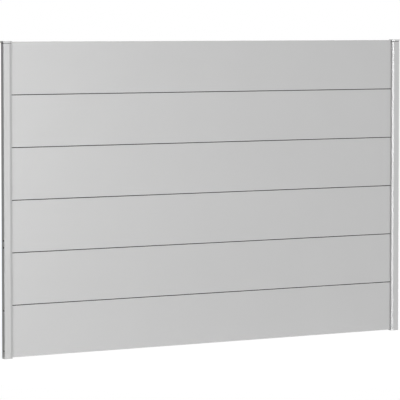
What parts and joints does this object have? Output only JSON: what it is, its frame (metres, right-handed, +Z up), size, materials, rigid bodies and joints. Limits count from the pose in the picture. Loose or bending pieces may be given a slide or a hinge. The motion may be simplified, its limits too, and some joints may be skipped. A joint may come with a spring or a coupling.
{
  "type": "metal privacy screen panel",
  "caption": "Metal privacy screen panel: six wide hollow boards, stacked tongue in slot, held in the channels of slim capped posts that bolt on through their outer sides.",
  "frame": {"origin": "on the left post's outer side face, halfway through its depth and level with the underside of the lowest board", "axes": "+X along the panel from the left post to the right one, front face towards -Y, +Z up"},
  "size_m": [2.802, 0.0385, 1.81],
  "materials": {
    "coated_board": "satin",
    "coated_post": "satin",
    "coated_cap": "satin",
    "coated_foot": "satin"
  },
  "bodies": {
    "root": {"left_post": "coated_post", "right_post": "coated_post", "left_post_cap": "coated_cap", "right_post_cap": "coated_cap", "left_foot_plug": "coated_foot", "right_foot_plug": "coated_foot", "board_1": "coated_board", "board_2": "coated_board", "board_3": "coated_board", "board_4": "coated_board", "board_5": "coated_board", "board_6": "coated_board"}
  },
  "joints": []
}
